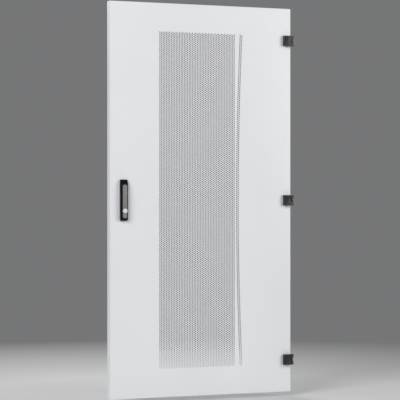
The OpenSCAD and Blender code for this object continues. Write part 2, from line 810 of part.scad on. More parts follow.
module cam_screw() placed() color([0.75, 0.76, 0.78]) {
  head_v = cam_v + cam_t + cam_washer_t;
  at_spindle() difference() {
    union() {
      rod_y(screw_d, case_v + 2, head_v + eps);
      rod_y(screw_head_d, head_v, head_v + screw_head_t);
    }
    slab(head_v + screw_head_t - 1.6, head_v + screw_head_t + past) circle(d = 5, $fn = 6);
  }
}

// A guide at height z for the rod on side s of the spindle: a foot on the sheet and a closed slot
module rod_guide(s, z) {
  mid = s * (rod_near + rod_far) / 2;
  half = rod_w / 2 + slip + guide_side;
  back_v = rod_v + rod_t + slip + guide_side;
  translate([handle_u + mid, 0, z]) difference() {
    union() {
      slab(sheet_t, back_v)
        translate([-half, -guide_h / 2]) rounded_rect([2 * half, guide_h], 2);
      slab(sheet_t, sheet_t + guide_foot_t)
        translate([-half - 3, -guide_h / 2 - 4]) rounded_rect([2 * half + 6, guide_h + 8], 3);
    }
    slab(rod_v - slip, rod_v + rod_t + slip)
      square([rod_w + 2 * slip, guide_h + 2 * past], center = true);
    slab(sheet_t - past, rod_v - slip - 3)
      translate([-half + 2, -guide_h / 2 + 2]) rounded_rect([2 * half - 4, guide_h - 4], 1);
  }
}

module upper_rod_guides() placed() color([0.16, 0.16, 0.17])
  for (z = upper_guide_z) rod_guide(-1, z);
module lower_rod_guides() placed() color([0.16, 0.16, 0.17])
  for (z = lower_guide_z) rod_guide(1, z);

hinge_bracket(0);  // hinge_bracket_top
hinge_bracket(1);  // hinge_bracket_mid
hinge_bracket(2);  // hinge_bracket_bottom
door_panel();
lock_side_stiffener();
hinge_side_stiffener();
top_stiffener();
bottom_stiffener();
rubber_buffers();
earth_stud();
earth_washer();
earth_nut();
hinge_block(0);  // hinge_block_top
hinge_block(1);  // hinge_block_mid
hinge_block(2);  // hinge_block_bottom
hinge_pin(0);  // hinge_pin_top
hinge_pin(1);  // hinge_pin_mid
hinge_pin(2);  // hinge_pin_bottom
hinge_screws(0);  // hinge_screws_top
hinge_screws(1);  // hinge_screws_mid
hinge_screws(2);  // hinge_screws_bottom
handle_base();
handle_seal();
base_screw();
lock_case();
lock_case_cover();
case_screws();
upper_rod_guides();
lower_rod_guides();
handle_hub();
cross_pin();
pinion();
latch_cam();
cam_washer();
cam_screw();
lever();
lock_collar();
lock_plug();
upper_rod();
lower_rod();
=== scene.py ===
"""Perforated rack door with a swing handle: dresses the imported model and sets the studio.

Everything is in metres, in the part's own frame: the front of the door faces -Y, +Z is up and
the hinges are on the +X side. The origin is between the middle hinge bracket's mounting holes.
"""

from __future__ import annotations

import json
import logging
import math
from contextlib import contextmanager
from dataclasses import dataclass, field
from enum import Enum
from typing import Callable, Iterator, Sequence

import bpy
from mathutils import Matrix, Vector

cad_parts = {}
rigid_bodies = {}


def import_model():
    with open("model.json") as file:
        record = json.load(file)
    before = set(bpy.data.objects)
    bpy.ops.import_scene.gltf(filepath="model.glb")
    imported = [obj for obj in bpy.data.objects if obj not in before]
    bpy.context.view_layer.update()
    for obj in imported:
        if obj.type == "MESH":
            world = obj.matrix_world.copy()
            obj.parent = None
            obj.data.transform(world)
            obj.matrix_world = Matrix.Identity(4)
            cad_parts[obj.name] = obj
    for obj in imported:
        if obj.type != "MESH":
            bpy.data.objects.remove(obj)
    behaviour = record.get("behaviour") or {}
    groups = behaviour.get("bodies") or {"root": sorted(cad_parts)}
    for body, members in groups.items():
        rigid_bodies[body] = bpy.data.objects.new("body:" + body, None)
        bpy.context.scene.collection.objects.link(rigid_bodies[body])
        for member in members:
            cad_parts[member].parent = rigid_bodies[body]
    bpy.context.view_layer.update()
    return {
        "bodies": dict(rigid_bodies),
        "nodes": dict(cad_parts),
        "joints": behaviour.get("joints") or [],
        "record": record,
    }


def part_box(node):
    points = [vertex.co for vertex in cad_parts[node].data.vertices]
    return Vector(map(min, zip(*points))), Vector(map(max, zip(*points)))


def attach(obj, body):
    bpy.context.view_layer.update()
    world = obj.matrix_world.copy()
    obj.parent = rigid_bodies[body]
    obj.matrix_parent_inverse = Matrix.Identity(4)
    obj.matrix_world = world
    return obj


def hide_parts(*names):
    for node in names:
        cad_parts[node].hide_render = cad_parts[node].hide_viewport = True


LOG = logging.getLogger("rack_door")
MM = 0.001
# Points nearer to each other than this are one point
WELD = 2e-6
# A plane or a circle turned to face along Y
UPRIGHT = (math.pi / 2, 0, 0)
Point = tuple[float, float, float]
Colour = tuple[float, float, float]


# ---------------------------------------------------------------- shader wiring


class Wire:
    """A shader socket that can be used in arithmetic."""

    def __init__(self, graph: Graph, socket: bpy.types.NodeSocket) -> None:
        """Keeps the socket and the graph it belongs to.

        Args:
            graph: the material's graph, which adds the Math nodes.
            socket: the output that this wire carries.
        """
        self.graph = graph
        self.socket = socket

    def _math(self, operation: str, first: float | Wire, second: float | Wire) -> Wire:
        """Adds one Math node.

        Args:
            operation: the node's operation.
            first: its first value.
            second: its second value.

        Returns:
            The node's result.
        """
        return self.graph.node("ShaderNodeMath", {"operation": operation}, {0: first, 1: second})

    def __add__(self, other: float | Wire) -> Wire:
        """Adds a value."""
        return self._math("ADD", self, other)

    def __radd__(self, other: float) -> Wire:
        """Adds to a number."""
        return self._math("ADD", other, self)

    def __sub__(self, other: float | Wire) -> Wire:
        """Takes a value away."""
        return self._math("SUBTRACT", self, other)

    def __rsub__(self, other: float) -> Wire:
        """Is taken away from a number."""
        return self._math("SUBTRACT", other, self)

    def __mul__(self, other: float | Wire) -> Wire:
        """Multiplies by a value."""
        return self._math("MULTIPLY", self, other)

    def __rmul__(self, other: float) -> Wire:
        """Multiplies a number."""
        return self._math("MULTIPLY", other, self)

    def __truediv__(self, other: float | Wire) -> Wire:
        """Divides by a value."""
        return self._math("DIVIDE", self, other)

    def clipped(self) -> Wire:
        """Holds the value between 0 and 1."""
        return self.graph.node(
            "ShaderNodeClamp", {}, {"Value": self, "Min": 0.0, "Max": 1.0}
        )


class Graph:
    """One material's nodes."""

    def __init__(self, name: str) -> None:
        """Makes an empty material.

        Args:
            name: the material's name.
        """
        self.material = bpy.data.materials.new(name)
        self.material.use_nodes = True
        self.tree = self.material.node_tree
        self.tree.nodes.clear()

    def node(
        self,
        kind: str,
        settings: dict[str, object],
        values: dict[int | str, object],
        result: int | str = 0,
    ) -> Wire:
        """Adds a node, sets it up and wires it.

        Args:
            kind: the node's type.
            settings: its own settings, such as a Math node's operation.
            values: its sockets' values or wires, by number or name.
            result: the output to hand back.

        Returns:
            The output as a wire.
        """
        made = self.tree.nodes.new(kind)
        for name, setting in settings.items():
            setattr(made, name, setting)
        for name, value in values.items():
            if isinstance(value, Wire):
                self.tree.links.new(value.socket, made.inputs[name])
            else:
                made.inputs[name].default_value = value
        return Wire(self, made.outputs[result] if made.outputs else None)

    def place(self, stretch: Point = (1.0, 1.0, 1.0)) -> Wire:
        """Gives the Object coordinates, stretched.

        Args:
            stretch: the scale along each axis.

        Returns:
            The stretched place as a vector wire.
        """
        raw = self.node("ShaderNodeTexCoord", {}, {}, "Object")
        return self.node("ShaderNodeMapping", {}, {"Vector": raw, "Scale": stretch})

    def noise(self, place: Wire, scale: float, detail: float = 2.0, rough: float = 0.5) -> Wire:
        """Gives a noise value about 0.5.

        Args:
            place: where the noise is read.
            scale: waves in a metre.
            detail: octaves.
            rough: how much the finer octaves count.

        Returns:
            The noise as a wire.
        """
        return self.node(
            "ShaderNodeTexNoise",
            {},
            {"Vector": place, "Scale": scale, "Detail": detail, "Roughness": rough},
        )

    def blend(self, mask: float | Wire, low: Sequence[float], high: Sequence[float]) -> Wire:
        """Mixes two colours.

        Args:
            mask: 0 for the first colour and 1 for the second.
            low: the first colour.
            high: the second colour.

        Returns:
            The mixed colour.
        """
        return self.node(
            "ShaderNodeMix",
            {"data_type": "RGBA"},
            {0: mask, 6: (*low, 1.0), 7: (*high, 1.0)},
            2,
        )

    def bump(self, height: Wire, depth: float) -> Wire:
        """Turns a height into a normal.

        Args:
            height: the height, from 0 to 1.
            depth: what a height of 1 stands for, in metres.

        Returns:
            The normal.
        """
        return self.node("ShaderNodeBump", {}, {"Height": height, "Distance": depth, "Strength": 1.0})

    def finish(self, values: dict[str, object]) -> bpy.types.Material:
        """Closes the graph with one surface shader.

        Args:
            values: the shader's socket values and wires.

        Returns:
            The finished material.
        """
        shader = self.node("ShaderNodeBsdfPrincipled", {}, values)
        self.node("ShaderNodeOutputMaterial", {}, {"Surface": shader})
        return self.material


def shade(level: float) -> Colour:
    """Gives a neutral colour from a display level between 0 and 255."""
    return tone(level, level, level)


def tone(red: float, green: float, blue: float) -> Colour:
    """Gives a colour from display levels between 0 and 255.

    Args:
        red: the red level.
        green: the green level.
        blue: the blue level.

    Returns:
        The colour as linear light.
    """
    return tuple(
        c / 12.92 if c <= 0.04045 else ((c + 0.055) / 1.055) ** 2.4
        for c in (red / 255, green / 255, blue / 255)
    )


# ---------------------------------------------------------------- finishes


@dataclass(frozen=True)
class PowderCoat:
    """A baked powder coat with a fine orange-peel skin."""

    name: str
    colour: Colour
    roughness: float = 0.42
    peel: float = 0.000012

    def material(self) -> bpy.types.Material:
        """Builds the material."""
        g = Graph(self.name)
        here = g.place()
        cloud = g.noise(here, 3.0, 3.0)
        speck = g.noise(here, 1900.0, 1.0)
        skin = g.noise(here, 650.0, 2.0, 0.45)
        deep = tuple(c * 0.955 for c in self.colour)
        pale = tuple(min(c * 1.02, 0.95) for c in self.colour)
        return g.finish(
            {
                "Base Color": g.blend((cloud * 0.75 + speck * 0.25).clipped(), deep, pale),
                "Roughness": (self.roughness - 0.05) + cloud * 0.06 + skin * 0.05,
                "Normal": g.bump(skin, self.peel),
                "IOR": 1.5,
            }
        )


@dataclass(frozen=True)
class BlackZinc:
    """Cast zinc under a satin coat, rubbed a little brighter in broad patches."""

    name: str
    colour: Colour
    roughness: float = 0.36
    rub: float = 1.35

    def material(self) -> bpy.types.Material:
        """Builds the material."""
        g = Graph(self.name)
        here = g.place()
        patch = g.noise(here, 45.0, 3.0)
        grit = g.noise(here, 1400.0, 2.0, 0.6)
        pale = tuple(c * self.rub for c in self.colour)
        return g.finish(
            {
                "Base Color": g.blend(((patch - 0.35) * 1.8).clipped(), self.colour, pale),
                "Roughness": self.roughness + (patch - 0.5) * 0.14 + (grit - 0.5) * 0.1,
                "Normal": g.bump(grit, 0.000018),
                "Metallic": 0.15,
                "IOR": 1.5,
            }
        )


@dataclass(frozen=True)
class MouldedPlastic:
    """Glass-filled plastic with a fine spark-eroded grain."""

    name: str
    colour: Colour
    roughness: float = 0.5
    shine: float = 0.5

    def material(self) -> bpy.types.Material:
        """Builds the material."""
        g = Graph(self.name)
        here = g.place()
        grain = g.node(
            "ShaderNodeTexVoronoi", {"feature": "F1"}, {"Vector": here, "Scale": 1700.0}
        )
        haze = g.noise(here, 60.0, 3.0)
        pale = tuple(c * 1.5 + 0.004 for c in self.colour)
        return g.finish(
            {
                "Base Color": g.blend(haze, self.colour, pale),
                "Roughness": self.roughness + (haze - 0.5) * 0.16,
                "Normal": g.bump(grain, 0.00002),
                "IOR": 1.47,
                "Specular IOR Level": self.shine,
            }
        )


class Lay(Enum):
    """Which way a metal's marks run."""

    ALONG_Z = (1800.0, 1800.0, 45.0)
    EVEN = (700.0, 700.0, 700.0)


@dataclass(frozen=True)
class PlatedSteel:
    """Bare or plated metal with fine marks and a faint stain."""

    name: str
    colour: Colour
    stain: Colour
    roughness: float = 0.28
    lay: Lay = Lay.EVEN
    depth: float = 0.000008

    def material(self) -> bpy.types.Material:
        """Builds the material."""
        g = Graph(self.name)
        marks = g.noise(g.place(self.lay.value), 1.0, 3.0, 0.6)
        cloud = g.noise(g.place(), 38.0, 3.0)
        return g.finish(
            {
                "Base Color": g.blend(((cloud - 0.3) * 1.6).clipped(), self.colour, self.stain),
                "Roughness": self.roughness + (cloud - 0.5) * 0.14 + (marks - 0.5) * 0.12,
                "Normal": g.bump(marks, self.depth),
                "Metallic": 1.0,
            }
        )


@dataclass(frozen=True)
class SoftRubber:
    """Matt black rubber with a dusty bloom."""

    name: str
    colour: Colour

    def material(self) -> bpy.types.Material:
        """Builds the material."""
        g = Graph(self.name)
        here = g.place()
        bloom = g.noise(here, 90.0, 4.0)
        grit = g.noise(here, 1100.0, 2.0)
        dusty = tuple(c * 2.0 + 0.01 for c in self.colour)
        return g.finish(
            {
                "Base Color": g.blend(((bloom - 0.4) * 1.5).clipped(), self.colour, dusty),
                "Roughness": 0.78 + (bloom - 0.5) * 0.16,
                "Normal": g.bump(grit, 0.00003),
            }
        )


class Finishes:
    """The door's finishes, built once each."""

    LEAF = PowderCoat("leaf_powder_coat", tone(231, 233, 235))
    HINGE = BlackZinc("hinge_black_zinc", shade(36))
    BRACKET = BlackZinc("bracket_black_coat", shade(38), 0.42)
    LEVER = BlackZinc("lever_grey_coat", shade(132), 0.38, 1.12)
    BASE = MouldedPlastic("base_black_plastic", shade(7), 0.3, 0.22)
    CASE = MouldedPlastic("case_black_plastic", shade(42), 0.55)
    SEAL = SoftRubber("seal_rubber", shade(26))
    ZINC = PlatedSteel("zinc_plate", shade(196), tone(176, 182, 190), 0.3)
    ROD = PlatedSteel("rod_zinc_plate", shade(190), tone(170, 176, 184), 0.33, Lay.ALONG_Z)
    PIN = PlatedSteel("pin_steel", shade(176), shade(150), 0.24, Lay.ALONG_Z)
    GEAR = PlatedSteel("gear_steel", shade(140), shade(112), 0.4)
    CHROME = PlatedSteel("lock_chrome", shade(246), shade(238), 0.55)
    BRASS = PlatedSteel("earth_brass", tone(214, 178, 98), tone(188, 146, 74), 0.3)

    def __init__(self) -> None:
        """Starts with nothing built."""
        self._built: dict[str, bpy.types.Material] = {}

    def get(self, finish: object) -> bpy.types.Material:
        """Builds a finish, or hands back the one already built.

        Args:
            finish: one of the finishes above.

        Returns:
            Its material.
        """
        if finish.name not in self._built:
            self._built[finish.name] = finish.material()
        return self._built[finish.name]


# ---------------------------------------------------------------- modelling bench


class Bench:
    """Adds, shapes and finishes meshes."""

    # Degrees between faces that are one flat face, and between faces with an edge to round
    flat_angle = 0.6
    sharp_angle = 30.0

    def __init__(self, frame: dict[str, object], finishes: Finishes) -> None:
        """Keeps what every sub-assembly needs.

        Args:
            frame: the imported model.
            finishes: the door's finishes.
        """
        self.nodes: dict[str, bpy.types.Object] = frame["nodes"]
        self.bodies: dict[str, list[str]] = frame["record"]["behaviour"]["bodies"]
        self.finishes = finishes

    def body_of(self, node: str) -> str:
        """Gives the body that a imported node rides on."""
        return next(body for body, members in self.bodies.items() if node in members)

    def only(self, *objs: bpy.types.Object) -> None:
        """Selects these objects and nothing else, the first of them active."""
        if bpy.context.object and bpy.context.object.mode != "OBJECT":
            bpy.ops.object.mode_set(mode="OBJECT")
        bpy.ops.object.select_all(action="DESELECT")
        for obj in objs:
            obj.select_set(True)
        bpy.context.view_layer.objects.active = objs[0]

    def settle(self, obj: bpy.types.Object) -> bpy.types.Object:
        """Puts the object at the origin, with its place in its mesh."""
        self.only(obj)
        bpy.ops.object.transform_apply(location=True, rotation=True, scale=True)
        return obj

    @contextmanager
    def whole(self, obj: bpy.types.Object, element: str = "VERT") -> Iterator[None]:
        """Opens an object for editing with its whole mesh selected, and closes it again.

        Args:
            obj: the object.
            element: what is selected: VERT, EDGE or FACE.
        """
        self.only(obj)
        bpy.ops.object.mode_set(mode="EDIT")
        bpy.ops.mesh.select_mode(type=element)
        bpy.ops.mesh.select_all(action="SELECT")
        yield
        bpy.ops.object.mode_set(mode="OBJECT")

    def box(self, name: str, low: Sequence[float], high: Sequence[float]) -> bpy.types.Object:
        """Adds a box.

        Args:
            name: the object's name.
            low: its lowest corner.
            high: its highest corner.

        Returns:
            The object, at the origin.
        """
        bpy.ops.object.select_all(action="DESELECT")
        middle = [(a + b) / 2 for a, b in zip(low, high)]
        size = [b - a for a, b in zip(low, high)]
        bpy.ops.mesh.primitive_cube_add(size=1, location=middle, scale=size)
        obj = bpy.context.object
        obj.name = name
        return self.settle(obj)

    def plate(
        self, name: str, centre: Sequence[float], width: float, height: float
    ) -> bpy.types.Object:
        """Adds a flat upright rectangle across the door.

        Args:
            name: the object's name.
            centre: its middle.
            width: its size along X.
            height: its size along Z.

        Returns:
            The object, at the origin.
        """
        bpy.ops.object.select_all(action="DESELECT")
        bpy.ops.mesh.primitive_plane_add(size=1, location=centre, rotation=UPRIGHT)
        obj = bpy.context.object
        obj.name = name
        obj.scale = (width, height, 1)
        return self.settle(obj)

    def copy_of(self, node: str, name: str) -> bpy.types.Object:
        """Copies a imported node's mesh and merges its loose triangles.

        Args:
            node: the node.
            name: the copy's name.

        Returns:
            The copy, as clean faces.
        """
        obj = bpy.data.objects.new(name, self.nodes[node].data.copy())
        bpy.context.scene.collection.objects.link(obj)
        obj.data.materials.clear()
        with self.whole(obj):
            bpy.ops.mesh.remove_doubles(threshold=WELD)
            bpy.ops.mesh.dissolve_limited(angle_limit=math.radians(self.flat_angle))
        return obj

    @contextmanager
    def faces(
        self, obj: bpy.types.Object, test: Callable[[bpy.types.MeshPolygon], bool]
    ) -> Iterator[None]:
        """Opens an object for editing with some faces selected, and closes it again.

        Args:
            obj: the object.
            test: says whether a face is wanted.
        """
        with self.whole(obj, "FACE"):
            bpy.ops.mesh.select_all(action="DESELECT")
            bpy.ops.object.mode_set(mode="OBJECT")
            for face in obj.data.polygons:
                face.select = test(face)
            bpy.ops.object.mode_set(mode="EDIT")
            yield

    @contextmanager
    def edges(
        self, obj: bpy.types.Object, test: Callable[[Vector, Vector], bool]
    ) -> Iterator[None]:
        """Opens an object for editing with some edges selected, and closes it again.

        Args:
            obj: the object.
            test: says whether the edge between two points is wanted.
        """
        with self.whole(obj, "EDGE"):
            bpy.ops.mesh.select_all(action="DESELECT")
            bpy.ops.object.mode_set(mode="OBJECT")
            points = obj.data.vertices
            for edge in obj.data.edges:
                first, second = edge.vertices
                edge.select = test(points[first].co, points[second].co)
            bpy.ops.object.mode_set(mode="EDIT")
            yield

    def modify(self, obj: bpy.types.Object, kind: str, **settings: object) -> None:
        """Adds a modifier and applies it.

        Args:
            obj: the object.
            kind: the modifier's type.
            settings: its settings.
        """
        self.only(obj)
        modifier = obj.modifiers.new(kind.lower(), kind)
        for name, value in settings.items():
            setattr(modifier, name, value)
        bpy.ops.object.modifier_apply(modifier=modifier.name)

    def repeat(self, obj: bpy.types.Object, count: int, step: Point) -> None:
        """Repeats an object in a row and merges what meets.

        Args:
            obj: the object.
            count: how many there are, with the first.
            step: the way from each to the next.
        """
        self.modify(
            obj,
            "ARRAY",
            count=count,
            use_relative_offset=False,
            use_constant_offset=True,
            constant_offset_displace=step,
            use_merge_vertices=True,
            merge_threshold=WELD,
        )

    def bevel(self, obj: bpy.types.Object, width: float, segments: int) -> None:
        """Rounds the sharp edges.

        Args:
            obj: the object.
            width: the bevel's width.
            segments: its number of steps.
        """
        self.modify(
            obj,
            "BEVEL",
            width=width,
            segments=segments,
            limit_method="ANGLE",
            angle_limit=math.radians(self.sharp_angle),
            use_clamp_overlap=True,
        )

    def cut(self, obj: bpy.types.Object, *tools: bpy.types.Object) -> None:
        """Cuts tools out of an object and removes them."""
        for tool in tools:
            self.modify(obj, "BOOLEAN", operation="DIFFERENCE", solver="EXACT", object=tool)
            bpy.data.objects.remove(tool)

    def join(self, obj: bpy.types.Object, *others: bpy.types.Object) -> bpy.types.Object:
        """Joins other objects into the first."""
        self.only(obj, *others)
        bpy.ops.object.join()
        return obj

    def weld(self, obj: bpy.types.Object) -> None:
        """Merges the points that lie together."""
        with self.whole(obj):
            bpy.ops.mesh.remove_doubles(threshold=WELD)

    def smooth(self, obj: bpy.types.Object, angle: float = 35.0) -> None:
        """Shades the faces smooth up to an angle in degrees."""
        self.only(obj)
        bpy.ops.object.shade_smooth_by_angle(angle=math.radians(angle))

    def deliver(
        self, obj: bpy.types.Object, finish: object, slot: str, node: str
    ) -> bpy.types.Object:
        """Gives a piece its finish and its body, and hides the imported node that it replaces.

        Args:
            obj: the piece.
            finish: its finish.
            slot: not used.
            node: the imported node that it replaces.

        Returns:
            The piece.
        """
        obj.data.materials.clear()
        obj.data.materials.append(self.finishes.get(finish))
        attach(obj, self.body_of(node))
        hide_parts(node)
        LOG.info("%s: %d faces", obj.name, len(obj.data.polygons))
        return obj

    def dress(
        self, node: str, finish: object, slot: str, round_off: float = 0.0, segments: int = 2
    ) -> bpy.types.Object:
        """Replaces a node by a copy of it with rounded edges.

        Args:
            node: the node.
            finish: the finish.
            slot: the record's material slot.
            round_off: the bevel's width, or 0 for none.
            segments: the bevel's steps.

        Returns:
            The new piece.
        """
        obj = self.copy_of(node, node + "_finished")
        if round_off:
            self.bevel(obj, round_off, segments)
        self.smooth(obj)
        return self.deliver(obj, finish, slot, node)


# ---------------------------------------------------------------- the leaf


@dataclass
class Leaf:
    """The folded sheet with its punched field and its curved strip of holes."""

    bench: Bench
    sheet: float = 1.5 * MM
    lip: float = 20 * MM
    bend: float = 2.5 * MM
    field_w: float = 334.4 * MM
    field_h: float = 1343 * MM
    field_inset: float = 204.6 * MM
    pitch: float = 8.1 * MM
    hole: float = 6.07 * MM
    hole_sides: int = 10
    strip_gap: float = 2 * MM
    strip_bow: float = 16.3 * MM
    window_reach: float = 5 * MM
    blocks: int = 3
    low: Vector = field(init=False)
    high: Vector = field(init=False)
    step: float = field(init=False)
    columns: int = field(init=False)
    rows: int = field(init=False)
    middle_z: float = field(init=False)
    left_x: float = field(init=False)
    half_h: float = field(init=False)
    strip_x: float = field(init=False)
    ring_r: float = field(init=False)
    bow_r: float = field(init=False)

    def __post_init__(self) -> None:
        """Reads the leaf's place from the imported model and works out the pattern."""
        low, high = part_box("door_panel")
        self.low, self.high = Vector(low), Vector(high)
        self.step = self.pitch * math.sin(math.radians(60))
        self.columns = int((self.field_w - self.hole) / self.step) + 1
        self.rows = int((self.field_h - self.hole - self.pitch / 2) / self.pitch) + 1
        self.middle_z = (self.low.z + self.high.z) / 2
        field_x = self.low.x + self.field_inset
        self.left_x = field_x + self.field_w / 2 - self.columns * self.step / 2
        self.half_h = (self.rows + 0.5) * self.pitch / 2
        self.strip_x = field_x + self.field_w + self.strip_gap + self.hole / 2 + self.step / 2
        # The ring of a hole has the round hole's area
        corner = 2 * math.pi / self.hole_sides
        self.ring_r = self.hole / 2 * math.sqrt(corner / math.sin(corner))
        half = self.field_h / 2
        self.bow_r = (half**2 + self.strip_bow**2) / (2 * self.strip_bow)

    def cell(self, name: str, x: float, z: float) -> bpy.types.Object:
        """Makes the sheet round one hole, as a flat face.

        Args:
            name: the object's name.
            x: the hole's centre across the door.
            z: the hole's centre up the door.

        Returns:
            The flat cell, with a point halfway up each side.
        """
        bench = self.bench
        place = (x, self.low.y, z)
        rim = bench.plate(name, place, self.step, self.pitch)
        with bench.whole(rim):
            bpy.ops.mesh.delete(type="ONLY_FACE")
        with bench.edges(rim, lambda a, b: abs(a.x - b.x) < WELD):
            bpy.ops.mesh.subdivide(number_cuts=1)
        bpy.ops.object.select_all(action="DESELECT")
        bpy.ops.mesh.primitive_circle_add(
            vertices=self.hole_sides,
            radius=self.ring_r,
            fill_type="NOTHING",
            location=place,
            rotation=UPRIGHT,
        )
        bench.join(rim, bench.settle(bpy.context.object))
        with bench.whole(rim, "EDGE"):
            bpy.ops.mesh.fill(use_beauty=True)
        return rim

    def column(self, name: str, x: float, raised: bool) -> bpy.types.Object:
        """Stacks cells into a column, with a plain half cell where the column stops short.

        Args:
            name: the object's name.
            x: the column's centre.
            raised: whether the column sits half a step higher.

        Returns:
            The flat column.
        """
        shift = self.pitch / 4 if raised else -self.pitch / 4
        first = self.middle_z - (self.rows - 1) / 2 * self.pitch + shift
        cell = self.cell(name, x, first)
        self.bench.repeat(cell, self.rows, (0, 0, self.pitch))
        end = -self.half_h if raised else self.half_h - self.pitch / 2
        centre = (x, self.low.y, self.middle_z + end + self.pitch / 4)
        plain = self.bench.plate(name + "_end", centre, self.step, self.pitch / 2)
        return self.bench.join(cell, plain)

    def block(self, name: str, first_x: float, count: int, raised_first: bool) -> bpy.types.Object:
        """Sets columns side by side as one flat sheet.

        Args:
            name: the object's name.
            first_x: the first column's centre.
            count: the number of columns.
            raised_first: whether the first column is a raised one.

        Returns:
            The flat sheet, facing forwards.
        """
        halves = []
        for k in (0, 1):
            number = (count + 1 - k) // 2
            half = self.column(f"{name}_{k}", first_x + k * self.step, raised_first == (k == 0))
            self.bench.repeat(half, number, (2 * self.step, 0, 0))
            halves.append(half)
        flat = self.bench.join(*halves)
        flat.name = name
        self.bench.weld(flat)
        return flat

    def thicken(self, flat: bpy.types.Object) -> bpy.types.Object:
        """Gives a flat sheet its thickness behind its front face."""
        bench = self.bench
        with bench.whole(flat):
            bpy.ops.mesh.normals_make_consistent(inside=False)
        if flat.data.polygons[0].normal.y > 0:
            with bench.whole(flat):
                bpy.ops.mesh.flip_normals()
        bench.modify(flat, "SOLIDIFY", thickness=self.sheet, offset=-1.0)
        bench.smooth(flat, 40)
        return flat

    def bow(self, obj: bpy.types.Object) -> None:
        """Bends an upright strip at x = 0 to the band's arc and moves it to its place."""
        heights = [point.co.z for point in obj.data.vertices]
        angle = (max(heights) - min(heights)) / self.bow_r
        self.bench.modify(
            obj, "SIMPLE_DEFORM", deform_method="BEND", deform_axis="Y", angle=angle
        )
        obj.location.x = self.strip_x
        self.bench.settle(obj)

    def window(self, name: str, left: float, right: float) -> bpy.types.Object:
        """Makes a tool that cuts a window as high as the punched field.

        Args:
            name: the tool's name.
            left: the window's left edge.
            right: its right edge.

        Returns:
            The tool.
        """
        return self.bench.box(
            name,
            (left, self.low.y - self.window_reach, self.middle_z - self.half_h),
            (right, self.low.y + self.window_reach, self.middle_z + self.half_h),
        )

    def strip_cutter(self) -> bpy.types.Object:
        """Makes the tool for the curved window, with a point at each half step."""
        tool = self.window("strip_window", -self.step, self.step)
        with self.bench.edges(tool, lambda a, b: abs(a.z - b.z) > self.half_h):
            bpy.ops.mesh.subdivide(number_cuts=2 * self.rows)
        self.bow(tool)
        return tool

    def tray(self) -> bpy.types.Object:
        """Folds the leaf's tray and cuts its two windows."""
        bench = self.bench
        inner = self.lip / 2

        def at_corner(point: Vector) -> bool:
            """Says whether a point is one of the box's own corners."""
            return not (
                self.low.x + inner < point.x < self.high.x - inner
                or self.low.z + inner < point.z < self.high.z - inner
            )

        tray = bench.box("leaf_tray", self.low, self.high)
        with bench.faces(tray, lambda face: face.normal.y > 0.9):
            bpy.ops.mesh.inset(thickness=self.lip)
            bpy.ops.mesh.delete(type="FACE")
        with bench.edges(
            tray, lambda a, b: abs(a.y - b.y) < WELD and at_corner(a) and at_corner(b)
        ):
            bpy.ops.mesh.bevel(offset=self.bend, segments=4, affect="EDGES")
        bench.modify(tray, "SOLIDIFY", thickness=self.sheet, offset=-1.0, use_even_offset=True)
        right_x = self.left_x + self.columns * self.step
        bench.cut(tray, self.window("field_window", self.left_x, right_x), self.strip_cutter())
        bench.smooth(tray, 30)
        return tray

    def build(self) -> None:
        """Builds the leaf's pieces."""
        pieces = [self.tray()]
        each, more = divmod(self.columns, self.blocks)
        done = 0
        for k in range(self.blocks):
            count = each + (k < more)
            first_x = self.left_x + (done + 0.5) * self.step
            flat = self.block(f"leaf_punched_{k + 1}", first_x, count, done % 2 == 0)
            pieces.append(self.thicken(flat))
            done += count
        strip = self.block("leaf_punched_band", -self.step / 2, 2, True)
        self.bow(strip)
        pieces.append(self.thicken(strip))
        for piece in pieces:
            self.bench.deliver(piece, Finishes.LEAF, "sheet_paint", "door_panel")


@dataclass
class Stiffeners:
    """The hat sections welded behind the leaf."""

    bench: Bench
    fold_round: float = 0.7 * MM

    def build(self) -> None:
        """Rounds their folds and paints them."""
        for place in ("lock_side", "hinge_side", "top", "bottom"):
            self.bench.dress(f"{place}_stiffener", Finishes.LEAF, "sheet_paint", self.fold_round)


# ---------------------------------------------------------------- hinges, handle and lock


@dataclass
class Hinges:
    """Three hinges: a block, a bracket, a pin and two screws each."""

    bench: Bench
    block_round: float = 0.5 * MM
    bracket_round: float = 0.3 * MM
    screw_round: float = 0.3 * MM

    def build(self) -> None:
        """Dresses each hinge."""
        bench = self.bench
        for place in ("top", "mid", "bottom"):
            bench.dress(f"hinge_block_{place}", Finishes.HINGE, "black_hinge", self.block_round, 3)
            bench.dress(f"hinge_bracket_{place}", Finishes.BRACKET, "black_hinge", self.bracket_round)
            bench.dress(f"hinge_pin_{place}", Finishes.PIN, "pin_steel")
            bench.dress(f"hinge_screws_{place}", Finishes.ZINC, "zinc_steel", self.screw_round)


@dataclass
class Handle:
    """The swing handle on the front."""

    bench: Bench
    base_round: float = 0.5 * MM
    hub_round: float = 0.2 * MM
    pin_round: float = 0.15 * MM
    lever_round: float = 0.8 * MM
    collar_round: float = 0.4 * MM
    plug_round: float = 0.15 * MM
    screw_round: float = 0.3 * MM

    def build(self) -> None:
        """Dresses the handle's pieces."""
        bench = self.bench
        bench.dress("handle_base", Finishes.BASE, "black_plastic", self.base_round, 3)
        bench.dress("handle_seal", Finishes.SEAL, "seal_rubber")
        bench.dress("handle_hub", Finishes.BRACKET, "black_hinge", self.hub_round)
        bench.dress("cross_pin", Finishes.PIN, "pin_steel", self.pin_round)
        bench.dress("lever", Finishes.LEVER, "lever_grey", self.lever_round, 3)
        bench.dress("lock_collar", Finishes.CHROME, "lock_chrome", self.collar_round, 3)
        bench.dress("lock_plug", Finishes.CHROME, "lock_chrome", self.plug_round)
        bench.dress("base_screw", Finishes.ZINC, "zinc_steel", self.screw_round)


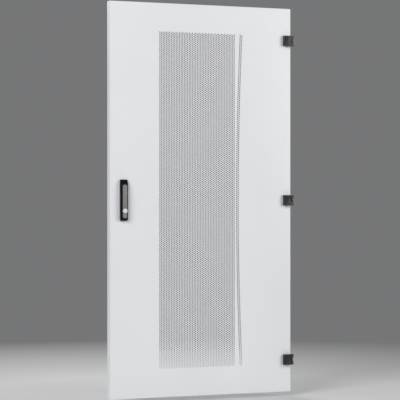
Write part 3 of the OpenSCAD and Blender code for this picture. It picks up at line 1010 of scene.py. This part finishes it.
@dataclass
class RodLock:
    """The case, gears, cam and rods behind the handle."""

    bench: Bench
    case_round: float = 0.4 * MM
    cam_round: float = 0.25 * MM
    rod_round: float = 0.15 * MM
    tooth_round: float = 0.1 * MM

    def build(self) -> None:
        """Dresses the lock's pieces."""
        bench = self.bench
        for node in ("lock_case", "lock_case_cover", "upper_rod_guides", "lower_rod_guides"):
            bench.dress(node, Finishes.CASE, "black_plastic", self.case_round)
        for node in ("case_screws", "latch_cam", "cam_washer", "cam_screw"):
            bench.dress(node, Finishes.ZINC, "zinc_steel", self.cam_round)
        for node in ("upper_rod", "lower_rod"):
            bench.dress(node, Finishes.ROD, "zinc_steel", self.rod_round)
        bench.dress("pinion", Finishes.GEAR, "gear_steel", self.tooth_round)


@dataclass
class BackFittings:
    """The buffers and the earth terminal."""

    bench: Bench
    buffer_round: float = 0.3 * MM
    stud_round: float = 0.3 * MM
    washer_round: float = 0.15 * MM
    nut_round: float = 0.4 * MM

    def build(self) -> None:
        """Dresses the small parts."""
        bench = self.bench
        bench.dress("rubber_buffers", Finishes.SEAL, "seal_rubber", self.buffer_round)
        bench.dress("earth_stud", Finishes.BRASS, "earth_brass", self.stud_round)
        bench.dress("earth_washer", Finishes.ZINC, "zinc_steel", self.washer_round)
        bench.dress("earth_nut", Finishes.ZINC, "zinc_steel", self.nut_round)


# ---------------------------------------------------------------- the studio


@dataclass(frozen=True)
class Lamp:
    """A soft rectangular light."""

    name: str
    place: Point
    target: Point
    size: tuple[float, float]
    power: float

    def light(self) -> None:
        """Sets the lamp up, pointing at its target."""
        way = Vector(self.target) - Vector(self.place)
        bpy.ops.object.light_add(
            type="AREA", location=self.place, rotation=way.to_track_quat("-Z", "Y").to_euler()
        )
        light = bpy.context.object
        light.name = self.name
        light.data.shape = "RECTANGLE"
        light.data.size, light.data.size_y = self.size
        light.data.energy = self.power


@dataclass
class Studio:
    """The camera, the lights, the pale floor and the plain surroundings.

    The surroundings are mid grey, so that the holes read darker than the sheet.
    """

    bench: Bench
    azimuth: float = -23.2
    distance: float = 7.04
    lens: float = 158.4
    sensor: float = 36.0
    sight: float = 60.0
    aim: Point = (-0.389, -0.040, 0.0008)
    floor_middle: Point = (-0.38, 0, -0.800)
    floor_r: float = 3.2
    fade_start: float = 1.0
    fade_length: float = 2.0
    surround: Colour = (0.18, 0.182, 0.185)
    lamps: tuple[Lamp, ...] = (
        Lamp("key_light", (-4.3, -3.1, 2.4), (-0.4, 0, 0.1), (2.6, 2.6), 205),
        Lamp("side_light", (3.2, -3.4, 1.2), (-0.4, 0, 0), (2.0, 2.6), 112),
        Lamp("back_light", (-0.8, 4.2, 2.4), (-0.4, 0, 0), (3.0, 2.4), 120),
    )

    def camera(self) -> None:
        """Sets the camera."""
        turn = math.radians(self.azimuth)
        way = Vector((math.sin(turn), -math.cos(turn), 0))
        bpy.ops.object.camera_add(
            location=Vector(self.aim) + self.distance * way, rotation=(math.pi / 2, 0, turn)
        )
        camera = bpy.context.object
        camera.data.lens = self.lens
        camera.data.sensor_width = self.sensor
        camera.data.clip_end = self.sight
        bpy.context.scene.camera = camera

    def floor(self) -> None:
        """Lays a pale round floor that fades into the surroundings."""
        bpy.ops.object.select_all(action="DESELECT")
        bpy.ops.mesh.primitive_circle_add(
            vertices=96, radius=self.floor_r, fill_type="NGON", location=self.floor_middle
        )
        floor = self.bench.settle(bpy.context.object)
        floor.name = "studio_floor"
        g = Graph("studio_floor_paper")
        here = g.place()
        centred = g.node(
            "ShaderNodeVectorMath", {"operation": "SUBTRACT"}, {0: here, 1: self.floor_middle}
        )
        reach = g.node("ShaderNodeVectorMath", {"operation": "LENGTH"}, {0: centred}, "Value")
        fade = ((reach - self.fade_start) / self.fade_length).clipped()
        fibre = g.noise(here, 400.0, 2.0)
        fibres = g.blend(fibre, (0.62, 0.62, 0.625), (0.66, 0.66, 0.665))
        paper = g.node("ShaderNodeBsdfPrincipled", {}, {"Base Color": fibres, "Roughness": 0.85})
        clear = g.node("ShaderNodeBsdfTransparent", {}, {})
        mixed = g.node("ShaderNodeMixShader", {}, {0: fade, 1: paper, 2: clear})
        g.node("ShaderNodeOutputMaterial", {}, {"Surface": mixed})
        floor.data.materials.append(g.material)

    def build(self) -> None:
        """Sets the studio up."""
        scene = bpy.context.scene
        scene.view_settings.view_transform = "Standard"
        world = bpy.data.worlds.new("studio_surround")
        world.use_nodes = True
        backdrop = world.node_tree.nodes["Background"].inputs
        backdrop["Color"].default_value = (*self.surround, 1)
        backdrop["Strength"].default_value = 1.0
        scene.world = world
        self.camera()
        for lamp in self.lamps:
            lamp.light()
        self.floor()


def main() -> None:
    """Builds the door's pieces in order."""
    logging.basicConfig(level=logging.INFO, format="%(name)s: %(message)s")
    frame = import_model()
    bpy.ops.object.select_all(action="DESELECT")
    bench = Bench(frame, Finishes())
    for assembly in (
        Studio(bench),
        Leaf(bench),
        Stiffeners(bench),
        Hinges(bench),
        Handle(bench),
        RodLock(bench),
        BackFittings(bench),
    ):
        assembly.build()
        LOG.info("%s built", type(assembly).__name__)


if __name__ == "__main__":
    main()
